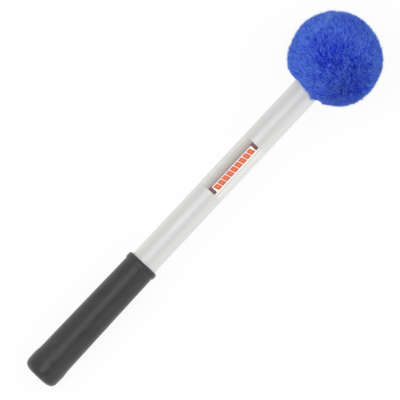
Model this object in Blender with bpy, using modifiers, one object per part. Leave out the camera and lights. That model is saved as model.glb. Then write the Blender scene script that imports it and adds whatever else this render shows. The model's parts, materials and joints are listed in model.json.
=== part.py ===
"""A percussion mallet: a plush-covered ball on an aluminium tube, with a slip-on grip.

Blender 4.5, metres, +Z up. Every piece is modelled along one axis, which runs from the middle of the grip's
flat butt, at height 0, to the crown of the ball. The axis is then laid down with the ball towards +X, tilted
so that the ball and the grip's butt both touch the table, which is the plane Z = 0.
"""

import math

import bmesh
import bpy
from mathutils import Vector

# Clearances
GAP = 0.0003  # between a piece and the neighbour that it sits on, or in
FILM_GAP = 0.0001  # between the tube and the label, and between the tube's skin and the cross pin's ends
OVERCUT = 0.002  # how far a cutter runs past what it cuts
MERGE_DISTANCE = 0.00001  # within which a turned piece's points on its axis become one

# Fineness of the meshes
FACETS = 40  # round the large turned pieces
FINE_FACETS = 24  # round the small ones
THREAD_FACETS = 16  # round the screw
THREAD_ROWS = 5  # in one turn of the thread
ARC_SAG = 0.00012  # between an arc and its chords
ARC_STEP = 22.5  # degrees at most between an arc's points

# Aluminium tube
TUBE_DIAMETER = 0.0222
TUBE_WALL = 0.0012
TUBE_BARE_LENGTH = 0.1836  # from the grip to the mouth of the cover
TUBE_EDGE = 0.0003  # the broken edge at each end

# Slip-on grip, a blind sleeve whose walls lie over the tube
GRIP_LENGTH = 0.1200
GRIP_END_WALL = 0.0035
GRIP_CORNER_RADIUS = 0.0060
GRIP_BUTT_WALL = 0.0033  # at the widest place of the barrel round the butt
GRIP_BUTT_SWELL = 0.0003  # how much thinner the barrel is next to its corner
GRIP_BUTT_LENGTH = 0.0140  # of the barrel
GRIP_STEP_LENGTH = 0.0040  # from the barrel in to the body
GRIP_LOW_WALL = 0.0026  # of the body, next to the barrel
GRIP_TOP_WALL = 0.0014  # of the body, next to the bead
GRIP_BEAD_WALL = 0.0022
GRIP_BEAD_LENGTH = 0.0060
GRIP_BEAD_RADIUS = 0.0020  # of the bead's two rounded sides

# Plug that closes the tube's lower end, inside the grip
BUTT_PLUG_FLANGE = 0.0015
BUTT_PLUG_LENGTH = 0.0140  # of the spigot
BUTT_PLUG_WALL = 0.0016
BUTT_PLUG_RIBS = 3
BUTT_PLUG_RIB_HEIGHT = 0.0004

# Label, a film round part of the tube
LABEL_FROM_GRIP = 0.0753
LABEL_LENGTH = 0.0502
LABEL_WIDTH = 0.0260  # round the tube
LABEL_THICKNESS = 0.0002
LABEL_TURN = 13.0  # degrees from the tube's top, towards -Y

# Turned wooden core of the ball
CORE_DIAMETER = 0.0540
CORE_LAND = 0.0036  # width of the flat ring round the socket's mouth
CORE_WEB = 0.0160  # wood between the socket and the screw's recess
SOCKET_BREAK = 0.0008  # chamfer at the socket's mouth
RECESS_DEPTH = 0.0090  # from the crown
RECESS_CLEARANCE = 0.0010  # round the washer

# Wooden plug in the tube's upper end, and the pin across it
PLUG_TAIL = 0.0170  # below the pin
PLUG_CHAMFER = 0.0010
PIN_DIAMETER = 0.0030
PIN_COVER = 0.0015  # of core between its mouth and the pin
PIN_EDGE = 0.0003

# Screw through the core into the plug, and its washer
SCREW_DIAMETER = 0.0050  # over the thread
SCREW_THREAD_HEIGHT = 0.0008
SCREW_PITCH = 0.0020
SCREW_SHANK_LENGTH = 0.0130
SCREW_POINT_LENGTH = 0.0050
SCREW_TIP_WOOD = 0.0012  # between the pilot hole and the cross pin's hole
SCREW_HEAD_DIAMETER = 0.0095
SCREW_HEAD_HEIGHT = 0.0030
SCREW_HEAD_RIM = 0.0010  # height of the head's straight side
SCREW_HEAD_FLAT = 0.0058  # across the top of its dome
DRIVE_WIDTH = 0.0011
DRIVE_LENGTH = 0.0050
DRIVE_DEPTH = 0.0018
WASHER_DIAMETER = 0.0160
WASHER_THICKNESS = 0.0012

# Felt and plush round the core
FELT_THICKNESS = 0.0030
COVER_THICKNESS = 0.0062  # the backing and its pile
COVER_SHOULDER_RADIUS = 0.0060  # where the ball turns in to its mouth
COVER_LIP_RADIUS = 0.0006

# Cord that gathers the cover's mouth round the tube
CORD_DIAMETER = 0.0008
CORD_TURNS = 2
CORD_TURN_GAP = 0.0004  # between two turns
CORD_INSET = 0.0010  # from the mouth to the cord's groove
CORD_POINTS = 24  # in one turn

# Finishes: colour, roughness, metallic
FINISHES = {
    "satin_aluminium": ((0.80, 0.80, 0.81), 0.38, 1.0),
    "black_grip": ((0.055, 0.055, 0.058), 0.55, 0.0),
    "label_film": ((0.70, 0.69, 0.67), 0.30, 0.0),
    "turned_wood": ((0.62, 0.43, 0.24), 0.60, 0.0),
    "zinc_steel": ((0.62, 0.63, 0.64), 0.35, 1.0),
    "grey_felt": ((0.45, 0.45, 0.44), 0.95, 0.0),
    "blue_plush": ((0.030, 0.065, 0.480), 0.90, 0.0),
    "white_cord": ((0.75, 0.74, 0.70), 0.80, 0.0),
    "natural_plastic": ((0.60, 0.60, 0.57), 0.45, 0.0),
}

# Radii that several pieces share
TUBE_RADIUS = TUBE_DIAMETER / 2
TUBE_BORE_RADIUS = TUBE_RADIUS - TUBE_WALL
OVER_TUBE_RADIUS = TUBE_RADIUS + GAP
IN_TUBE_RADIUS = TUBE_BORE_RADIUS - GAP
CORE_RADIUS = CORE_DIAMETER / 2
FELT_INNER_RADIUS = CORE_RADIUS + GAP
FELT_OUTER_RADIUS = FELT_INNER_RADIUS + FELT_THICKNESS
COVER_INNER_RADIUS = FELT_OUTER_RADIUS + GAP
COVER_OUTER_RADIUS = COVER_INNER_RADIUS + COVER_THICKNESS
RECESS_RADIUS = WASHER_DIAMETER / 2 + RECESS_CLEARANCE
SCREW_HOLE_RADIUS = SCREW_DIAMETER / 2 + GAP
PIN_HOLE_RADIUS = PIN_DIAMETER / 2 + GAP

# How far below the ball's centre each layer's flat mouth lies
CORE_MOUTH_DEPTH = math.sqrt(CORE_RADIUS**2 - (OVER_TUBE_RADIUS + CORE_LAND) ** 2)
FELT_INNER_DEPTH = CORE_MOUTH_DEPTH + GAP
FELT_OUTER_DEPTH = FELT_INNER_DEPTH + FELT_THICKNESS
COVER_INNER_DEPTH = FELT_OUTER_DEPTH + GAP
COVER_OUTER_DEPTH = COVER_INNER_DEPTH + COVER_THICKNESS

# Heights along the axis, from the butt up
FLANGE_BOTTOM = GRIP_END_WALL + GAP
FLANGE_TOP = FLANGE_BOTTOM + BUTT_PLUG_FLANGE
TUBE_BOTTOM = FLANGE_TOP + GAP
COVER_MOUTH = GRIP_LENGTH + TUBE_BARE_LENGTH
BALL_CENTRE = COVER_MOUTH + COVER_OUTER_DEPTH
CORE_MOUTH = BALL_CENTRE - CORE_MOUTH_DEPTH
PIN_HEIGHT = CORE_MOUTH + PIN_COVER + PIN_DIAMETER / 2
PILOT_BOTTOM = PIN_HEIGHT + PIN_HOLE_RADIUS + SCREW_TIP_WOOD
SCREW_TIP = PILOT_BOTTOM + GAP
RECESS_FLOOR = BALL_CENTRE + CORE_RADIUS - RECESS_DEPTH
SOCKET_FLOOR = RECESS_FLOOR - CORE_WEB
TUBE_TOP = SOCKET_FLOOR - GAP
WASHER_BOTTOM = RECESS_FLOOR + GAP
WASHER_TOP = WASHER_BOTTOM + WASHER_THICKNESS
SCREW_SEAT = WASHER_TOP + GAP
SCREW_TOP = SCREW_SEAT + SCREW_HEAD_HEIGHT

# The gathering cord's helix and its groove
CORD_PITCH = CORD_DIAMETER + CORD_TURN_GAP
CORD_REACH = CORD_TURNS * CORD_PITCH + CORD_DIAMETER
GROOVE_BOTTOM = COVER_MOUTH + CORD_INSET
GROOVE_TOP = GROOVE_BOTTOM + CORD_REACH + 2 * GAP


def arc(centre, radius, start, end):
    """Points (radius, height) on a circle about centre, between two angles in degrees above the horizontal."""
    step = min(ARC_STEP, 2 * math.degrees(math.acos(1 - ARC_SAG / radius)))
    count = math.ceil(abs(end - start) / step)
    angles = [math.radians(start + (end - start) * i / count) for i in range(count + 1)]
    return [(centre[0] + radius * math.cos(a), centre[1] + radius * math.sin(a)) for a in angles]


def ball_arc(radius, depth):
    """The side of a ball, from its crown down to a flat mouth that lies depth below its centre."""
    crown, *side = arc((0.0, BALL_CENTRE), radius, 90.0, -math.degrees(math.asin(depth / radius)))
    return [(0.0, crown[1])] + side


def grip_profile():
    """The grip, from the middle of its bore's floor, up the bore, over the bead and down to the butt."""
    bore = [(0.0, GRIP_END_WALL), (OVER_TUBE_RADIUS, GRIP_END_WALL), (OVER_TUBE_RADIUS, GRIP_LENGTH)]
    body_top = OVER_TUBE_RADIUS + GRIP_TOP_WALL
    body_bottom = OVER_TUBE_RADIUS + GRIP_LOW_WALL
    barrel = OVER_TUBE_RADIUS + GRIP_BUTT_WALL
    corner_side = barrel - GRIP_BUTT_SWELL
    bead_centre = OVER_TUBE_RADIUS + GRIP_BEAD_WALL - GRIP_BEAD_RADIUS
    foot_angle = math.acos((body_top - bead_centre) / GRIP_BEAD_RADIUS)
    foot_height = GRIP_LENGTH - GRIP_BEAD_LENGTH + GRIP_BEAD_RADIUS * math.sin(foot_angle)
    lip = arc((bead_centre, GRIP_LENGTH - GRIP_BEAD_RADIUS), GRIP_BEAD_RADIUS, 90.0, 0.0)
    foot = arc((bead_centre, foot_height), GRIP_BEAD_RADIUS, 0.0, -math.degrees(foot_angle))
    step_middle = GRIP_BUTT_LENGTH + GRIP_STEP_LENGTH / 2
    step = [
        (body_bottom, GRIP_BUTT_LENGTH + GRIP_STEP_LENGTH),
        ((body_bottom + barrel) / 2, step_middle),
        (barrel, GRIP_BUTT_LENGTH),
    ]
    corner_centre = (corner_side - GRIP_CORNER_RADIUS, GRIP_CORNER_RADIUS)
    corner = arc(corner_centre, GRIP_CORNER_RADIUS, 0.0, -90.0)
    return bore + lip + foot + step + corner + [(0.0, 0.0)]


def cover_profile():
    """The cover, from its crown down to the mouth, up past the cord's groove and back inside to the crown."""
    shoulder_depth = COVER_OUTER_DEPTH - COVER_SHOULDER_RADIUS
    shoulder_reach = COVER_OUTER_RADIUS - COVER_SHOULDER_RADIUS
    shoulder_angle = -math.degrees(math.asin(shoulder_depth / shoulder_reach))
    shoulder_centre = (math.sqrt(shoulder_reach**2 - shoulder_depth**2), BALL_CENTRE - shoulder_depth)
    crown, *outside = arc((0.0, BALL_CENTRE), COVER_OUTER_RADIUS, 90.0, shoulder_angle)
    shoulder = arc(shoulder_centre, COVER_SHOULDER_RADIUS, shoulder_angle, -90.0)
    lip_centre = (OVER_TUBE_RADIUS + COVER_LIP_RADIUS, COVER_MOUTH + COVER_LIP_RADIUS)
    lip = arc(lip_centre, COVER_LIP_RADIUS, -90.0, -180.0)
    groove_radius = OVER_TUBE_RADIUS + CORD_DIAMETER + GAP
    groove = [
        (OVER_TUBE_RADIUS, GROOVE_BOTTOM),
        (groove_radius, GROOVE_BOTTOM),
        (groove_radius, GROOVE_TOP),
        (OVER_TUBE_RADIUS, GROOVE_TOP),
        (OVER_TUBE_RADIUS, BALL_CENTRE - COVER_INNER_DEPTH),
    ]
    inside = ball_arc(COVER_INNER_RADIUS, COVER_INNER_DEPTH)[::-1]
    return [(0.0, crown[1])] + outside[:-1] + shoulder + lip + groove + inside


def make_material(name):
    """A Principled material with one of the finishes."""
    colour, roughness, metallic = FINISHES[name]
    material = bpy.data.materials.new(name)
    material.use_nodes = True
    shader = material.node_tree.nodes["Principled BSDF"]
    shader.inputs["Base Color"].default_value = (*colour, 1.0)
    shader.inputs["Roughness"].default_value = roughness
    shader.inputs["Metallic"].default_value = metallic
    material.diffuse_color = (*colour, 1.0)
    return material


def add_piece(name, data, finish, collection, axis):
    """Puts a named piece on the mallet's axis."""
    piece = bpy.data.objects.new(name, data)
    piece.data.materials.append(make_material(finish))
    piece.parent = axis
    collection.objects.link(piece)
    return piece


def add_cutter(name, data, collection, axis):
    """Puts a cutter on the mallet's axis, shown as wire and left out of the model."""
    cutter = bpy.data.objects.new(name, data)
    cutter.parent = axis
    cutter.hide_render = True
    cutter.display_type = "WIRE"
    collection.objects.link(cutter)
    return cutter


def cut(piece, cutter):
    """Takes the cutter's shape out of the piece."""
    boolean = piece.modifiers.new(cutter.name, "BOOLEAN")
    boolean.operation = "DIFFERENCE"
    boolean.object = cutter


def turned(name, profile, finish, collection, axis, closed=False, facets=FACETS):
    """A piece turned about the axis from a profile, with a flat facet, not a corner, at its lowest side."""
    mesh = bpy.data.meshes.new(name)
    edges = [(i, i + 1) for i in range(len(profile) - 1)]
    if closed:
        edges.append((len(profile) - 1, 0))
    mesh.from_pydata([(radius, 0.0, height) for radius, height in profile], edges, [])
    piece = add_piece(name, mesh, finish, collection, axis)
    piece.rotation_euler.z = math.pi / facets
    screw = piece.modifiers.new("turn", "SCREW")
    screw.axis = "Z"
    screw.angle = math.tau
    screw.steps = facets
    screw.render_steps = facets
    screw.use_merge_vertices = True
    screw.merge_threshold = MERGE_DISTANCE
    screw.use_smooth_shade = True
    return piece


def cylinder_mesh(name, radius, length):
    """A closed cylinder along Z."""
    mesh = bpy.data.meshes.new(name)
    shape = bmesh.new()
    sizes = {"radius1": radius, "radius2": radius, "depth": length}
    bmesh.ops.create_cone(shape, cap_ends=True, segments=FINE_FACETS, **sizes)
    shape.to_mesh(mesh)
    shape.free()
    return mesh


def cut_pin_hole(piece, cutters, axis):
    """The cross pin's hole, through the tube or through the plug in it."""
    name = f"{piece.name}_pin_hole"
    mesh = cylinder_mesh(name, PIN_HOLE_RADIUS, TUBE_DIAMETER + 2 * OVERCUT)
    cutter = add_cutter(name, mesh, cutters, axis)
    cutter.location.z = PIN_HEIGHT
    cutter.rotation_euler.x = math.pi / 2
    cut(piece, cutter)


def make_tube(parts, cutters, axis):
    """The aluminium tube, with the cross pin's hole through both walls near its top."""
    profile = [
        (TUBE_RADIUS - TUBE_EDGE, TUBE_TOP),
        (TUBE_RADIUS, TUBE_TOP - TUBE_EDGE),
        (TUBE_RADIUS, TUBE_BOTTOM + TUBE_EDGE),
        (TUBE_RADIUS - TUBE_EDGE, TUBE_BOTTOM),
        (TUBE_BORE_RADIUS + TUBE_EDGE, TUBE_BOTTOM),
        (TUBE_BORE_RADIUS, TUBE_BOTTOM + TUBE_EDGE),
        (TUBE_BORE_RADIUS, TUBE_TOP - TUBE_EDGE),
        (TUBE_BORE_RADIUS + TUBE_EDGE, TUBE_TOP),
    ]
    tube = turned("shaft_tube", profile, "satin_aluminium", parts, axis, closed=True)
    cut_pin_hole(tube, cutters, axis)


def make_grip(parts, axis):
    """The grip, a blind sleeve with a bead at its mouth and a barrel at its butt."""
    turned("grip_sleeve", grip_profile(), "black_grip", parts, axis)


def make_butt_plug(parts, axis):
    """The plug in the tube's lower end: a flange under the tube's edge and a ribbed, hollow spigot."""
    spigot_radius = IN_TUBE_RADIUS - BUTT_PLUG_RIB_HEIGHT
    inner_radius = spigot_radius - BUTT_PLUG_WALL
    top = FLANGE_TOP + BUTT_PLUG_LENGTH
    pitch = BUTT_PLUG_LENGTH / (BUTT_PLUG_RIBS + 1)
    ribs = []
    for i in range(BUTT_PLUG_RIBS, 0, -1):
        height = FLANGE_TOP + i * pitch
        ribs += [(spigot_radius, height + pitch / 4), (IN_TUBE_RADIUS, height), (spigot_radius, height - pitch / 4)]
    profile = [
        (0.0, FLANGE_TOP),
        (inner_radius, FLANGE_TOP),
        (inner_radius, top),
        (spigot_radius, top),
        *ribs,
        (spigot_radius, FLANGE_TOP),
        (TUBE_RADIUS, FLANGE_TOP),
        (TUBE_RADIUS, FLANGE_BOTTOM),
        (0.0, FLANGE_BOTTOM),
    ]
    turned("butt_plug", profile, "natural_plastic", parts, axis)


def make_label(parts, axis):
    """The label: a film with a small gap to the tube, turned through part of a circle and thickened outwards."""
    bottom = GRIP_LENGTH + LABEL_FROM_GRIP
    radius = TUBE_RADIUS + FILM_GAP
    mesh = bpy.data.meshes.new("label_film")
    mesh.from_pydata([(radius, 0.0, bottom + LABEL_LENGTH), (radius, 0.0, bottom)], [(0, 1)], [])
    label = add_piece("label_film", mesh, "label_film", parts, axis)
    angle = LABEL_WIDTH / radius
    screw = label.modifiers.new("wrap", "SCREW")
    screw.axis = "Z"
    screw.angle = angle
    screw.steps = round(FACETS * angle / math.tau)
    screw.render_steps = screw.steps
    screw.use_smooth_shade = True
    solidify = label.modifiers.new("thickness", "SOLIDIFY")
    solidify.thickness = LABEL_THICKNESS
    solidify.offset = 1.0
    # The axis lies with its own +X side down, so the tube's top is half a turn from there.
    label.rotation_euler.z = math.pi + math.radians(LABEL_TURN) - angle / 2


def make_core(parts, axis):
    """The turned wooden core: a ball with a socket for the tube and a stepped hole for the screw."""
    rim_angle = math.degrees(math.acos(RECESS_RADIUS / CORE_RADIUS))
    mouth_angle = -math.degrees(math.asin(CORE_MOUTH_DEPTH / CORE_RADIUS))
    profile = [
        *arc((0.0, BALL_CENTRE), CORE_RADIUS, rim_angle, mouth_angle),
        (OVER_TUBE_RADIUS + SOCKET_BREAK, CORE_MOUTH),
        (OVER_TUBE_RADIUS, CORE_MOUTH + SOCKET_BREAK),
        (OVER_TUBE_RADIUS, SOCKET_FLOOR),
        (SCREW_HOLE_RADIUS, SOCKET_FLOOR),
        (SCREW_HOLE_RADIUS, RECESS_FLOOR),
        (RECESS_RADIUS, RECESS_FLOOR),
    ]
    turned("head_core", profile, "turned_wood", parts, axis, closed=True)


def make_head_plug(parts, cutters, axis):
    """The wooden plug in the tube's top, with a blind pilot hole for the screw and a hole for the cross pin."""
    bottom = PIN_HEIGHT - PIN_DIAMETER / 2 - PLUG_TAIL
    profile = [
        (0.0, PILOT_BOTTOM),
        (SCREW_HOLE_RADIUS, PILOT_BOTTOM),
        (SCREW_HOLE_RADIUS, TUBE_TOP),
        (IN_TUBE_RADIUS - PLUG_CHAMFER, TUBE_TOP),
        (IN_TUBE_RADIUS, TUBE_TOP - PLUG_CHAMFER),
        (IN_TUBE_RADIUS, bottom + PLUG_CHAMFER),
        (IN_TUBE_RADIUS - PLUG_CHAMFER, bottom),
        (0.0, bottom),
    ]
    plug = turned("head_plug", profile, "turned_wood", parts, axis)
    cut_pin_hole(plug, cutters, axis)


def make_cross_pin(parts, axis):
    """The pin that locks the wooden plug in the tube. Its ends are just inside the tube's surface."""
    mesh = cylinder_mesh("cross_pin", PIN_DIAMETER / 2, TUBE_DIAMETER - 2 * FILM_GAP)
    pin = add_piece("cross_pin", mesh, "zinc_steel", parts, axis)
    pin.location.z = PIN_HEIGHT
    pin.rotation_euler.x = math.pi / 2
    bevel = pin.modifiers.new("edges", "BEVEL")
    bevel.width = PIN_EDGE
    bevel.segments = 1


def screw_head_rows():
    """The rows of the screw's domed head and plain shank, from the top down: height, radius, thread height."""
    head_radius = SCREW_HEAD_DIAMETER / 2
    flat_radius = SCREW_HEAD_FLAT / 2
    dome_height = SCREW_HEAD_HEIGHT - SCREW_HEAD_RIM
    rows = []
    for degrees in (90, 60, 30, 0):
        angle = math.radians(degrees)
        radius = flat_radius + (head_radius - flat_radius) * math.cos(angle)
        rows.append((SCREW_SEAT + SCREW_HEAD_RIM + dome_height * math.sin(angle), radius, 0.0))
    rows.append((SCREW_SEAT, head_radius, 0.0))
    rows.append((SCREW_SEAT, SCREW_DIAMETER / 2, 0.0))
    rows.append((SCREW_SEAT - SCREW_SHANK_LENGTH, SCREW_DIAMETER / 2, 0.0))
    return rows


def screw_thread_rows():
    """The rows of the screw's threaded part, which starts with full depth and tapers away at the point."""
    root_radius = SCREW_DIAMETER / 2 - SCREW_THREAD_HEIGHT
    row_height = SCREW_PITCH / THREAD_ROWS
    top = SCREW_SEAT - SCREW_SHANK_LENGTH - row_height
    rows = []
    for i in range(round((top - SCREW_TIP) / row_height)):
        height = top - i * row_height
        share = min(1.0, (height - SCREW_TIP) / SCREW_POINT_LENGTH)
        rows.append((height, root_radius * share, SCREW_THREAD_HEIGHT * share))
    tip_share = row_height / SCREW_POINT_LENGTH / 2
    return rows + [(SCREW_TIP, root_radius * tip_share, 0.0)]


def thread_ridge(turns):
    """How far up the thread's ridge a point is, from 0 to 1, by its place along the helix in turns."""
    return max(0.0, 1 - 4 * abs(turns % 1 - 0.5))


def make_screw(parts, cutters, axis):
    """The wood screw: rings along the axis, whose radius follows the thread's helix, and a crossed drive."""
    shape = bmesh.new()
    rings = []
    for height, radius, thread in screw_head_rows() + screw_thread_rows():
        ring = []
        for i in range(THREAD_FACETS):
            turns = i / THREAD_FACETS
            reach = radius + thread * thread_ridge(height / SCREW_PITCH + turns)
            place = (reach * math.cos(math.tau * turns), reach * math.sin(math.tau * turns), height)
            ring.append(shape.verts.new(place))
        rings.append(ring)
    for upper, lower in zip(rings, rings[1:]):
        for i in range(THREAD_FACETS):
            j = (i + 1) % THREAD_FACETS
            shape.faces.new((upper[i], lower[i], lower[j], upper[j]))
    shape.faces.new(rings[0])
    shape.faces.new(rings[-1][::-1])
    mesh = bpy.data.meshes.new("core_screw")
    shape.to_mesh(mesh)
    shape.free()
    screw = add_piece("core_screw", mesh, "zinc_steel", parts, axis)
    for name, turn in (("drive_slot_a", 0.0), ("drive_slot_b", math.pi / 2)):
        slot = add_cutter(name, slot_mesh(name), cutters, axis)
        slot.location.z = SCREW_TOP
        slot.rotation_euler.z = turn
        cut(screw, slot)


def slot_mesh(name):
    """A box that cuts one slot of the screw's crossed drive."""
    mesh = bpy.data.meshes.new(name)
    shape = bmesh.new()
    bmesh.ops.create_cube(shape, size=1.0)
    bmesh.ops.scale(shape, vec=Vector((DRIVE_LENGTH, DRIVE_WIDTH, 2 * DRIVE_DEPTH)), verts=shape.verts)
    shape.to_mesh(mesh)
    shape.free()
    return mesh


def make_washer(parts, axis):
    """The washer under the screw's head."""
    profile = [
        (WASHER_DIAMETER / 2, WASHER_TOP),
        (WASHER_DIAMETER / 2, WASHER_BOTTOM),
        (SCREW_HOLE_RADIUS, WASHER_BOTTOM),
        (SCREW_HOLE_RADIUS, WASHER_TOP),
    ]
    turned("core_washer", profile, "zinc_steel", parts, axis, closed=True, facets=FINE_FACETS)


def make_recess_disc(parts, axis):
    """The felt disc that fills the recess above the screw, domed to follow the core."""
    radius = RECESS_RADIUS - GAP
    pocket_radius = SCREW_HEAD_DIAMETER / 2 + GAP
    rim_angle = math.degrees(math.acos(radius / CORE_RADIUS))
    crown, *dome = arc((0.0, BALL_CENTRE), CORE_RADIUS, 90.0, rim_angle)
    profile = [
        (0.0, crown[1]),
        *dome,
        (radius, SCREW_SEAT),
        (pocket_radius, SCREW_SEAT),
        (pocket_radius, SCREW_TOP + GAP),
        (0.0, SCREW_TOP + GAP),
    ]
    turned("recess_disc", profile, "grey_felt", parts, axis, facets=FINE_FACETS)


def make_felt(parts, axis):
    """The felt wrapped round the core, open only where the tube enters."""
    profile = [
        *ball_arc(FELT_OUTER_RADIUS, FELT_OUTER_DEPTH),
        (OVER_TUBE_RADIUS, BALL_CENTRE - FELT_OUTER_DEPTH),
        (OVER_TUBE_RADIUS, BALL_CENTRE - FELT_INNER_DEPTH),
        *ball_arc(FELT_INNER_RADIUS, FELT_INNER_DEPTH)[::-1],
    ]
    turned("felt_layer", profile, "grey_felt", parts, axis)


def make_cover(parts, axis):
    """The plush cover, from its backing to the tips of its pile."""
    turned("plush_cover", cover_profile(), "blue_plush", parts, axis)


def make_gather_cord(parts, axis):
    """The cord in the cover's mouth: a helix that draws the mouth in on the tube."""
    curve = bpy.data.curves.new("gather_cord", "CURVE")
    curve.dimensions = "3D"
    curve.bevel_depth = CORD_DIAMETER / 2
    curve.bevel_resolution = 1
    curve.use_fill_caps = True
    spline = curve.splines.new("POLY")
    count = CORD_TURNS * CORD_POINTS
    spline.points.add(count)
    radius = OVER_TUBE_RADIUS + CORD_DIAMETER / 2
    bottom = GROOVE_BOTTOM + GAP + CORD_DIAMETER / 2
    for i in range(count + 1):
        turns = i / CORD_POINTS
        angle = math.tau * turns
        spline.points[i].co = (radius * math.cos(angle), radius * math.sin(angle), bottom + CORD_PITCH * turns, 1.0)
    add_piece("gather_cord", curve, "white_cord", parts, axis)


def facet_reach(radius):
    """How far from the axis the middle of a large turned piece's facet is, where its corners are at radius."""
    return radius * math.cos(math.pi / FACETS)


def lowest(profile, tilt):
    """The height of the profile's lowest facet above the middle of the butt when the axis is tilted."""
    return min(height * math.sin(tilt) - facet_reach(radius) * math.cos(tilt) for radius, height in profile)


def resting_tilt():
    """The axis's angle to the table at which the ball and the grip are equally low, by bisection."""
    low, high = 0.0, math.radians(30.0)
    for _ in range(60):
        middle = (low + high) / 2
        if lowest(cover_profile(), middle) < lowest(grip_profile(), middle):
            low = middle
        else:
            high = middle
    return (low + high) / 2


def lay_down(axis):
    """Lays the axis on the table, with the origin under the middle of the mallet's box."""
    tilt = resting_tilt()
    outline = cover_profile() + grip_profile()
    low_x = min(height * math.cos(tilt) - facet_reach(radius) * math.sin(tilt) for radius, height in outline)
    high_x = max(height * math.cos(tilt) + facet_reach(radius) * math.sin(tilt) for radius, height in outline)
    axis.rotation_euler.y = math.pi / 2 - tilt
    axis.location = (-(low_x + high_x) / 2, 0.0, -lowest(outline, tilt))
    place = [round(value, 6) for value in axis.location]
    normal = [round(-math.cos(tilt), 6), 0.0, round(-math.sin(tilt), 6)]
    print(f"tilt {math.degrees(tilt):.4f} degrees, middle of the butt {place}, its normal {normal}")


def main():
    """Builds the whole mallet."""
    for old in list(bpy.data.objects):
        bpy.data.objects.remove(old)
    parts = bpy.data.collections.new("percussion_mallet")
    cutters = bpy.data.collections.new("cutters")
    bpy.context.scene.collection.children.link(parts)
    bpy.context.scene.collection.children.link(cutters)
    axis = bpy.data.objects.new("mallet_axis", None)
    parts.objects.link(axis)
    make_tube(parts, cutters, axis)
    make_grip(parts, axis)
    make_butt_plug(parts, axis)
    make_label(parts, axis)
    make_core(parts, axis)
    make_head_plug(parts, cutters, axis)
    make_cross_pin(parts, axis)
    make_screw(parts, cutters, axis)
    make_washer(parts, axis)
    make_recess_disc(parts, axis)
    make_felt(parts, axis)
    make_cover(parts, axis)
    make_gather_cord(parts, axis)
    lay_down(axis)


main()
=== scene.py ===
"""The looks of a percussion mallet: a blue plush ball on a satin aluminium tube with a slip-on grip.

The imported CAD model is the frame. Each shape that shows is a fine mesh made here about the mallet's own
axis, in axis coordinates: Z runs from the middle of the grip's butt to the crown of the ball, Y is the
frame's Y, and +X is the side that lies on the table. Then it is laid down on the frame's axis. Sizes are
in metres.
"""

import json
import math

import bmesh
import bpy
import numpy as np
from mathutils import Matrix, Vector, kdtree, noise


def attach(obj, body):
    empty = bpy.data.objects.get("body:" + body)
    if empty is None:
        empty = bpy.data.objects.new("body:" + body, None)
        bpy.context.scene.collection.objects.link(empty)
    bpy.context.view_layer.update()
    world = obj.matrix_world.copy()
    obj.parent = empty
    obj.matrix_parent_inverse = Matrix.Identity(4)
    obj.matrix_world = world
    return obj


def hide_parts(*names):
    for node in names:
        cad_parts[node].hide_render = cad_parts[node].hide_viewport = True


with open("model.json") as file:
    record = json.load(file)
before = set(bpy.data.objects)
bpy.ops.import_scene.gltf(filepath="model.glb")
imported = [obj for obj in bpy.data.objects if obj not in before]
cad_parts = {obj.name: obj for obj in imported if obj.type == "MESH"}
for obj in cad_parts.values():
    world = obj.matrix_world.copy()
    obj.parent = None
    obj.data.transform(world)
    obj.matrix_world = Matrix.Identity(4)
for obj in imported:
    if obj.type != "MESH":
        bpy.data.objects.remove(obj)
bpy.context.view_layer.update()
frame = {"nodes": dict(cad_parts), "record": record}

SEED = 11
NOISE_SEED = 7  # of the vector noise, which would otherwise differ from run to run

# The mallet's axis, from the mount at the middle of the grip's butt
BUTT_MOUNT = next(mount for mount in frame["record"]["mounts"] if mount["name"] == "butt_face")
BUTT = Vector(BUTT_MOUNT["pos_m"])
AXIS = -Vector(BUTT_MOUNT["axis"]).normalized()
SIDE = Vector((0.0, 1.0, 0.0))
DOWN = SIDE.cross(AXIS)
ON_AXIS = Matrix.Translation(BUTT) @ Matrix((DOWN, SIDE, AXIS)).transposed().to_4x4()
TO_AXIS = ON_AXIS.inverted()
TOP_TURN = math.pi  # the direction round the axis that faces up, where +X faces down


def reach(node):
    """A CAD node's lowest and highest place along the axis and its largest distance from it."""
    places = [TO_AXIS @ vertex.co for vertex in frame["nodes"][node].data.vertices]
    heights = [place.z for place in places]
    return min(heights), max(heights), max(math.hypot(place.x, place.y) for place in places)


def srgb(red, green, blue):
    """A colour written as 0 to 255, as linear values."""
    values = [value / 255 for value in (red, green, blue)]
    return tuple(v / 12.92 if v <= 0.04045 else ((v + 0.055) / 1.055) ** 2.4 for v in values)


# Places and radii that the frame gives
TUBE_LOW, TUBE_HIGH, TUBE_RADIUS = reach("shaft_tube")
_, GRIP_TOP, BARREL_RADIUS = reach("grip_sleeve")
LABEL_LOW, LABEL_HIGH, LABEL_RADIUS = reach("label_film")
MOUTH, CROWN, BALL_RADIUS = reach("plush_cover")
FELT_LOW, _, FELT_RADIUS = reach("felt_layer")
_, _, CORE_RADIUS = reach("head_core")
DISC_LOW, _, DISC_RADIUS = reach("recess_disc")
SCREW_HEAD_TOP = reach("core_screw")[1]
CORD_LOW, CORD_HIGH, CORD_REACH = reach("gather_cord")
BALL_CENTRE = CROWN - BALL_RADIUS
BALL_PLACE = Vector((0.0, 0.0, BALL_CENTRE))

# Fits between the pieces, as in the CAD model
GAP = 0.0003
BORE = TUBE_RADIUS + GAP
FILM_GAP = 0.0001

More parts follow.
